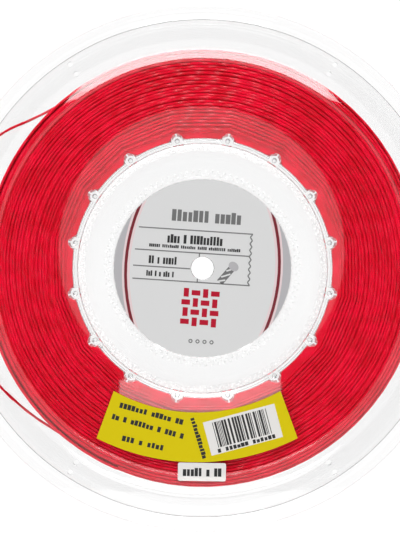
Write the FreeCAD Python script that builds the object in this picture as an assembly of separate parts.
import FreeCAD, Part

import math
import os

from FreeCAD import Placement, Rotation, Vector

# A reel of racket string: two clear moulded half reels pressed together on sixteen pins, a
# printed card on the hub, two stickers, and 200 m of 1.30 mm red string wound between the flanges.
# The reel lies on its rear rim. +Z is the reel's axis and points out of the front face, +Y is
# the top of the printed card, and the origin is the centre of the circle that it rests on.
# All lengths are in millimetres and all angles in degrees.

# Flanges
reel_diameter = 254.0
winding_gap = 19.0  # clear width between the two flange webs
flange_wall = 1.5
rim_rise = 2.0  # the rim's outer face stands this far outside the web's
rim_width = 15.2  # the flat rim, from the edge of the flange inwards
cone_width = 7.8  # the cone between the rim and the flat web, along the radius
bead_width = 3.0  # the thick round edge of the flange
cone_blend = 3.0  # radius of the bends at both ends of the cone
small_blend = 0.5  # radius of the edges of the bore and the dish

# Core and hub
core_radius = 62.5
core_wall = 2.0
hub_recess = 3.0  # depth of the hub's dish below the web
hub_floor = 1.5
bore_diameter = 11.0
bore_tube_wall = 2.4
ridge_width = 0.9  # the low ring that the card lies inside
ridge_height = 0.6
rib_count = 72  # fine moulded ribs round the ridge
rib_width = 0.8
rib_length = 3.8
rib_height = 0.4

# Bosses round the core, and the pins and sockets in them
boss_count = 16
boss_radius = 2.8
boss_offset = 0.9  # boss centres lie this far outside the core
pin_diameter = 2.4
pin_length = 4.5
pin_clearance = 0.05  # on the radius
socket_spare = 0.5  # depth left under a pin
pin_chamfer = 0.4

# Holes in the rim for the string's tail
tail_hole_diameter = 2.6
tail_hole_inset = 10.2  # from the edge of the flange
tail_hole_angle = 33.0  # either side of the Y axis

# Printed card and stickers
card_diameter = 86.0
card_thickness = 0.4
card_clearance = 0.4  # on the radius, at the ridge
card_hole_clearance = 0.2  # on the radius, round the bore
sticker_thickness = 0.12
product_label_inner_arc = 83.0
product_label_height = 24.0
product_label_top_width = 80.4
product_label_bottom_width = 97.0
product_label_inset = 10.4  # from the edge of the web to the label's lowest point
product_label_shift = -2.6  # of the centre of its arcs, along X
batch_label_width = 23.2
batch_label_height = 8.8
batch_label_corner = 0.9
batch_label_inset = 5.7  # from the edge of the web to the label's centre
batch_label_angle = 269.825
batch_label_turn = -1.0

# String and winding
string_diameter = 1.30
winding_radius = 106.5  # over the outer layer
layer_clearance = 0.1  # between the string and what it lies on
face_clearance = 0.2  # between the winding and the flange
face_loops = 16.0
corner_loops = 0.5
outer_loops = 7.5
bulk_chamfer = 2.0
face_inset = 1.3  # from the bulk's edges to the first and last loop on the face
outer_inset = 1.4  # from the bulk's faces to the first and last loop outside
winding_end_angle = 247.0  # where the outer layer lets go of the string
least_gap_wanted = 0.4
turns_sides = 8  # the flats of the tube that the turns are drawn with
steps_per_loop = 4
samples_per_arc = 6

# The turn that has sprung loose at the left, as points of its route between its two ends, and
# the last wrap, which holds it again from the upper left over the top to the right
last_wrap_start_angle = 127.0
last_wrap_end_angle = -20.0
last_wrap_rise = 5.0
last_wrap_height = 7.5  # above the surface that the reel lies on, at its start
loose_turn_points = [
    Vector(-55.5, -91.6, 6.2),
    Vector(-72.5, -82.0, 5.4),
    Vector(-88.4, -71.8, 4.6),
    Vector(-103.6, -57.4, 4.1),
    Vector(-117.0, -39.2, 3.9),
    Vector(-126.6, -17.4, 3.8),
    Vector(-131.0, 6.6, 3.8),
    Vector(-127.6, 31.4, 3.8),
    Vector(-117.0, 52.2, 3.9),
    Vector(-101.6, 67.2, 5.4),
    Vector(-87.0, 73.4, 6.5),
    Vector(-73.2, 80.0, 7.2),
]

# Worked out from the sizes above
reel_radius = reel_diameter / 2
rim_inner_radius = reel_radius - rim_width
web_radius = rim_inner_radius - cone_width
reel_width = winding_gap + 2 * (flange_wall + rim_rise)
middle = reel_width / 2
bead_blend = 0.48 * bead_width
dish_radius = core_radius - core_wall
floor_outside = rim_rise + hub_recess
floor_inside = floor_outside + hub_floor
web_inside = rim_rise + flange_wall
bore_radius = bore_diameter / 2
tube_radius = bore_radius + bore_tube_wall
ridge_inner = card_diameter / 2 + card_clearance
boss_circle = core_radius + boss_offset
tail_hole_circle = reel_radius - tail_hole_inset
string_radius = string_diameter / 2
layer = string_diameter + layer_clearance
bulk_bottom = web_inside + face_clearance + layer
bulk_top = reel_width - bulk_bottom
bulk_radius = winding_radius - layer
bulk_corner = boss_radius + layer_clearance
face_height = bulk_top + layer_clearance + string_radius
outer_circle = bulk_radius + layer_clearance + string_radius
wrap_circle = outer_circle + layer


def rounded_outline(corners):
    """A closed wire through corners of (x, y, blend), each rounded with its blend radius."""
    edges = []
    ends = []
    for i, (x, y, blend) in enumerate(corners):
        here = Vector(x, 0, y)
        before = Vector(corners[i - 1][0], 0, corners[i - 1][1])
        after = Vector(corners[(i + 1) % len(corners)][0], 0, corners[(i + 1) % len(corners)][1])
        back = (before - here).normalize()
        on = (after - here).normalize()
        if blend <= 0:
            ends.append((here, here))
            continue
        half = back.getAngle(on) / 2
        reach = blend / math.tan(half)
        to_centre = (back + on).normalize()
        near = here + to_centre * (blend / math.sin(half) - blend)
        start = here + back * reach
        end = here + on * reach
        edges.append(Part.Arc(start, near, end).toShape())
        ends.append((start, end))
    for i, (start, end) in enumerate(ends):
        edges.append(Part.LineSegment(ends[i - 1][1], start).toShape())
    return Part.Wire(Part.__sortEdges__(edges))


def turned(wire):
    """The solid that a closed wire in the XZ plane sweeps round the Z axis."""
    return Part.Face(wire).revolve(Vector(0, 0, 0), Vector(0, 0, 1), 360)


def on_circle(radius, angle, height=0.0):
    """The point at that radius, angle and height round the reel's axis."""
    turn = math.radians(angle)
    return Vector(radius * math.cos(turn), radius * math.sin(turn), height)


def boss_points(height):
    """The centres of the bosses, which stand either side of the X and Y axes."""
    step = 360 / boss_count
    return [on_circle(boss_circle, (i + 0.5) * step, height) for i in range(boss_count)]


def tail_hole_points():
    """The centres of the four tail holes, at the bottom of the rear rim."""
    angles = [side + turn for side in (90, 270) for turn in (-tail_hole_angle, tail_hole_angle)]
    return [on_circle(tail_hole_circle, angle) for angle in angles]


def half_reel_outline():
    """The section of one half reel, from its outer face at height 0 to the parting plane."""
    return rounded_outline([
        (bore_radius, floor_outside, small_blend),
        (ridge_inner, floor_outside, 0),
        (ridge_inner, floor_outside - ridge_height, 0),
        (ridge_inner + ridge_width, floor_outside - ridge_height, 0),
        (ridge_inner + ridge_width, floor_outside, 0),
        (dish_radius, floor_outside, 0),
        (dish_radius, rim_rise, small_blend),
        (web_radius, rim_rise, cone_blend),
        (rim_inner_radius, 0, cone_blend),
        (reel_radius, 0, bead_blend),
        (reel_radius, bead_width, bead_blend),
        (reel_radius - bead_width, bead_width, bead_blend),
        (reel_radius - bead_width, flange_wall, 0),
        (rim_inner_radius, flange_wall, cone_blend),
        (web_radius, web_inside, cone_blend),
        (core_radius, web_inside, 0),
        (core_radius, middle, 0),
        (dish_radius, middle, 0),
        (dish_radius, floor_inside, 0),
        (tube_radius, floor_inside, 0),
        (tube_radius, middle, 0),
        (bore_radius, middle, 0),
    ])


def half_reel():
    """Flange, core wall, hub and bosses in one moulding, before it gets its pins or sockets."""
    body = turned(half_reel_outline())
    overlap = flange_wall / 2
    foot = web_inside - overlap
    bosses = [Part.makeCylinder(boss_radius, middle - foot, p) for p in boss_points(foot)]
    holes = [Part.makeCylinder(tail_hole_diameter / 2, flange_wall, p) for p in tail_hole_points()]
    return body.fuse(bosses + hub_ribs()).cut(holes)


def hub_ribs():
    """The ribs in the dish: small ridges that run outwards from the ring round the card."""
    start = ridge_inner + ridge_width / 2
    length = ridge_width / 2 + rib_length
    depth = rib_height + hub_floor / 2
    corner = Vector(start, -rib_width / 2, floor_outside - rib_height)
    ribs = []
    for i in range(rib_count):
        rib = Part.makeBox(length, rib_width, depth, corner)
        rib.rotate(Vector(0, 0, 0), Vector(0, 0, 1), 360 * i / rib_count)
        ribs.append(rib)
    return ribs


def rear_half_reel():
    """The half reel that the reel lies on, with a socket in each boss."""
    depth = pin_length + socket_spare
    radius = pin_diameter / 2 + pin_clearance
    sockets = [Part.makeCylinder(radius, depth, p) for p in boss_points(middle - depth)]
    return half_reel().cut(sockets)


def front_half_reel():
    """The half reel on top, turned over, with a chamfered pin on each boss."""
    radius = pin_diameter / 2
    stem = pin_length - pin_chamfer
    pins = []
    for point in boss_points(middle):
        pins.append(Part.makeCylinder(radius, stem, point))
        tip = point + Vector(0, 0, stem)
        pins.append(Part.makeCone(radius, radius - pin_chamfer, pin_chamfer, tip))
    half = half_reel().fuse(pins).removeSplitter()
    half.Placement = Placement(Vector(0, 0, reel_width), Rotation(Vector(1, 0, 0), 180))
    return half


def hub_card():
    """The printed card, a disc that lies in the front dish inside the ridge."""
    height = reel_width - floor_outside
    disc = Part.makeCylinder(card_diameter / 2, card_thickness, Vector(0, 0, height))
    hole_radius = bore_radius + card_hole_clearance
    return disc.cut(Part.makeCylinder(hole_radius, card_thickness, Vector(0, 0, height)))


def product_label():
    """The sticker under the hub, between two arcs with one centre."""
    inner = product_label_inner_arc
    outer = inner + product_label_height
    centre = Vector(product_label_shift, outer + product_label_inset - web_radius, 0)
    top = math.degrees(math.asin(product_label_top_width / 2 / inner))
    bottom = math.degrees(math.asin(product_label_bottom_width / 2 / outer))

    def corner(radius, angle):
        return centre + on_circle(radius, 270 + angle, reel_width - rim_rise)

    edges = [
        Part.Arc(corner(inner, -top), corner(inner, 0), corner(inner, top)).toShape(),
        Part.LineSegment(corner(inner, top), corner(outer, bottom)).toShape(),
        Part.Arc(corner(outer, bottom), corner(outer, 0), corner(outer, -bottom)).toShape(),
        Part.LineSegment(corner(outer, -bottom), corner(inner, -top)).toShape(),
    ]
    return Part.Face(Part.Wire(edges)).extrude(Vector(0, 0, sticker_thickness))


def batch_label():
    """The small sticker near the bottom of the front flange, with rounded corners."""
    size = Vector(batch_label_width, batch_label_height, sticker_thickness)
    label = Part.makeBox(size.x, size.y, size.z, Vector(-size.x / 2, -size.y / 2, 0))
    upright = [e for e in label.Edges if abs(e.BoundBox.ZLength - size.z) < 1e-6]
    label = label.makeFillet(batch_label_corner, upright)
    place = on_circle(web_radius - batch_label_inset, batch_label_angle, reel_width - rim_rise)
    label.Placement = Placement(place, Rotation(Vector(0, 0, 1), batch_label_turn))
    return label


def bulk_inner_wire(height):
    """The inside of the winding: string pulled straight from boss to boss, bent over each."""
    step = 360 / boss_count
    centres = boss_points(height)
    edges = []
    for i, centre in enumerate(centres):
        angle = (i + 0.5) * step
        start = centre + on_circle(bulk_corner, angle - step / 2)
        end = centre + on_circle(bulk_corner, angle + step / 2)
        edges.append(Part.Arc(start, centre + on_circle(bulk_corner, angle), end).toShape())
        following = centres[(i + 1) % boss_count] + on_circle(bulk_corner, angle + step / 2)
        edges.append(Part.LineSegment(end, following).toShape())
    return Part.Wire(edges)


def string_bulk():
    """The inner layers of the winding as one plain ring with bevelled outer edges."""
    depth = bulk_top - bulk_bottom
    disc = Part.makeCylinder(bulk_radius, depth, Vector(0, 0, bulk_bottom))
    rims = [e for e in disc.Edges if isinstance(e.Curve, Part.Circle)]
    disc = disc.makeChamfer(bulk_chamfer, rims)
    core = Part.Face(bulk_inner_wire(bulk_bottom)).extrude(Vector(0, 0, depth))
    return disc.cut(core)


def winding_point(loops):
    """The string's centre after that many loops: out over the face, then down the outside."""
    inner = boss_circle + bulk_corner + face_inset
    outer = bulk_radius - face_inset
    upper = bulk_top - outer_inset
    lower = bulk_bottom + outer_inset
    total = face_loops + corner_loops + outer_loops
    if loops <= face_loops:
        radius = inner + (outer - inner) * loops / face_loops
        height = face_height
    elif loops <= face_loops + corner_loops:
        part = (loops - face_loops) / corner_loops
        radius = outer + (outer_circle - outer) * part
        height = face_height + (upper - face_height) * part
    else:
        part = (loops - face_loops - corner_loops) / outer_loops
        radius = outer_circle
        height = upper + (lower - upper) * part
    return on_circle(radius, winding_end_angle + 360 * (total - loops), height)


def wrap_point(share):
    """The string's centre along the last wrap, from its start at 0 to the cut end at 1."""
    angle = last_wrap_start_angle + (last_wrap_end_angle - last_wrap_start_angle) * share
    return on_circle(wrap_circle, angle, last_wrap_height + last_wrap_rise * share)


def heading(place, where, low, high):
    """The unit direction of travel of the function place at where, kept inside low to high."""
    step = 1e-3
    before = place(max(low, where - step))
    after = place(min(high, where + step))
    return (after - before).normalize()


def arc_from(start, direction, end):
    """The arc that leaves start in that direction and reaches end."""
    chord = end - start
    bend = direction.getAngle(chord)
    if bend < 1e-6:
        return Part.LineSegment(start, end)
    side = (chord.normalize() - direction * direction.dot(chord)).normalize()
    span = (end - start).Length
    across = side * math.cos(bend) - direction * math.sin(bend)
    rise = span / 2 * math.tan(bend / 2)
    return Part.Arc(start, (start + end) / 2 - across * rise, end)


def biarc(start, leaving, end, arriving):
    """Two arcs that touch, from start to end with the two directions given."""
    reach = end - start
    both = leaving + arriving
    bend = 2 * (1 - leaving.dot(arriving))
    along = reach.dot(both)
    tangent = (math.sqrt(along**2 + bend * reach.dot(reach)) - along) / bend
    joint = (start + leaving * tangent + end - arriving * tangent) / 2
    first = arc_from(start, leaving, joint)
    second = arc_from(end, arriving * -1, joint)
    return [first, second]


def wound_path(place, low, high, stops):
    """Edges along the function place from low to high, with a straight lead at each end."""
    marks = [low + (high - low) * i / stops for i in range(stops + 1)]
    points = [place(m) for m in marks]
    headings = [heading(place, m, low, high) for m in marks]
    lead_in = points[0] - headings[0] * string_diameter
    lead_out = points[-1] + headings[-1] * string_diameter
    edges = [Part.LineSegment(lead_in, points[0]).toShape()]
    for i in range(stops):
        for arc in biarc(points[i], headings[i], points[i + 1], headings[i + 1]):
            edges.append(arc.toShape())
    edges.append(Part.LineSegment(points[-1], lead_out).toShape())
    return edges, lead_in, lead_out, headings


def tube_along(edges, start, direction):
    """A solid tube of string along touching edges, from a section square to the first."""
    section = Part.Wire(Part.makeCircle(string_radius, start, direction))
    return Part.Wire(edges).makePipeShell([section], True, False)


def faceted_tube_along(edges, start, direction):
    """The same with flat sides, which keeps many turns light."""
    side = direction.cross(Vector(0, 0, 1)).normalize()
    up = side.cross(direction)
    corners = []
    for i in range(turns_sides + 1):
        turn = 2 * math.pi * (i + 0.5) / turns_sides
        corners.append(start + (side * math.cos(turn) + up * math.sin(turn)) * string_radius)
    section = Part.makePolygon(corners)
    return Part.Wire(edges).makePipeShell([section], True, False)


def string_turns():
    """The loops that show: the front face of the winding and its outer layer, in one tube."""
    total = face_loops + corner_loops + outer_loops
    stops = round(total * steps_per_loop)
    edges, lead_in, lead_out, headings = wound_path(winding_point, 0, total, stops)
    print_least_gap(total)
    return faceted_tube_along(edges, lead_in, headings[0]), lead_out


def print_least_gap(total):
    """Measures on points how near the loops come to each other, and prints it."""
    per_loop = steps_per_loop * samples_per_arc * 2
    count = round(total * per_loop)
    points = [winding_point(total * i / count) for i in range(count + 1)]
    least = min(
        (points[i] - points[j]).Length
        for i in range(0, count - per_loop // 2, 2)
        for j in range(i + per_loop // 2, min(i + 2 * per_loop, count + 1))
    )
    gap = least - string_diameter
    print(f"least gap between loops {gap:.2f} mm, wanted over {least_gap_wanted} mm")


def string_last_wrap():
    """The end of the string, laid over the outer layer from the upper left to its cut end."""
    turned_by = abs(last_wrap_end_angle - last_wrap_start_angle)
    stops = math.ceil(turned_by * steps_per_loop / 360)
    edges, lead_in, _, headings = wound_path(wrap_point, 0, 1, stops)
    return tube_along(edges, lead_in, headings[0]), lead_in


def string_loose_turn(start, end):
    """The turn that has sprung out at the left: straight runs joined by tangent arcs."""
    route = [start] + loose_turn_points + [end]
    edges = []
    radii = []
    at = start
    for i in range(1, len(route) - 1):
        back = route[i - 1] - route[i]
        on = route[i + 1] - route[i]
        half = back.getAngle(on) / 2
        reach = 0.45 * min(back.Length, on.Length)
        radius = reach * math.tan(half)
        radii.append(radius)
        back.normalize()
        on.normalize()
        near = route[i] + (back + on).normalize() * (radius / math.sin(half) - radius)
        first = route[i] + back * reach
        last = route[i] + on * reach
        edges.append(Part.LineSegment(at, first).toShape())
        edges.append(Part.Arc(first, near, last).toShape())
        at = last
    edges.append(Part.LineSegment(at, end).toShape())
    length = sum(e.Length for e in edges)
    tube = tube_along(edges, start, route[1] - start)
    wanted = math.pi * string_radius**2 * length
    print("loose turn radii", " ".join(f"{r:.0f}" for r in radii), "mm")
    print(f"loose turn length {length:.1f} mm, volume {tube.Volume:.2f}, section x length {wanted:.2f}")
    return tube


def main():
    os.makedirs("parts", exist_ok=True)
    turns, turns_end = string_turns()
    wrap, wrap_start = string_last_wrap()
    parts = {
        "rear_half_reel": rear_half_reel(),
        "front_half_reel": front_half_reel(),
        "hub_card": hub_card(),
        "product_label": product_label(),
        "batch_label": batch_label(),
        "string_bulk": string_bulk(),
        "string_turns": turns,
        "string_loose_turn": string_loose_turn(turns_end, wrap_start),
        "string_last_wrap": wrap,
    }
    for name, shape in parts.items():
        shape.exportStep(f"parts/{name}.step")
        print(name, "valid", shape.isValid(), "solids", len(shape.Solids), f"volume {shape.Volume:.1f}")


main()
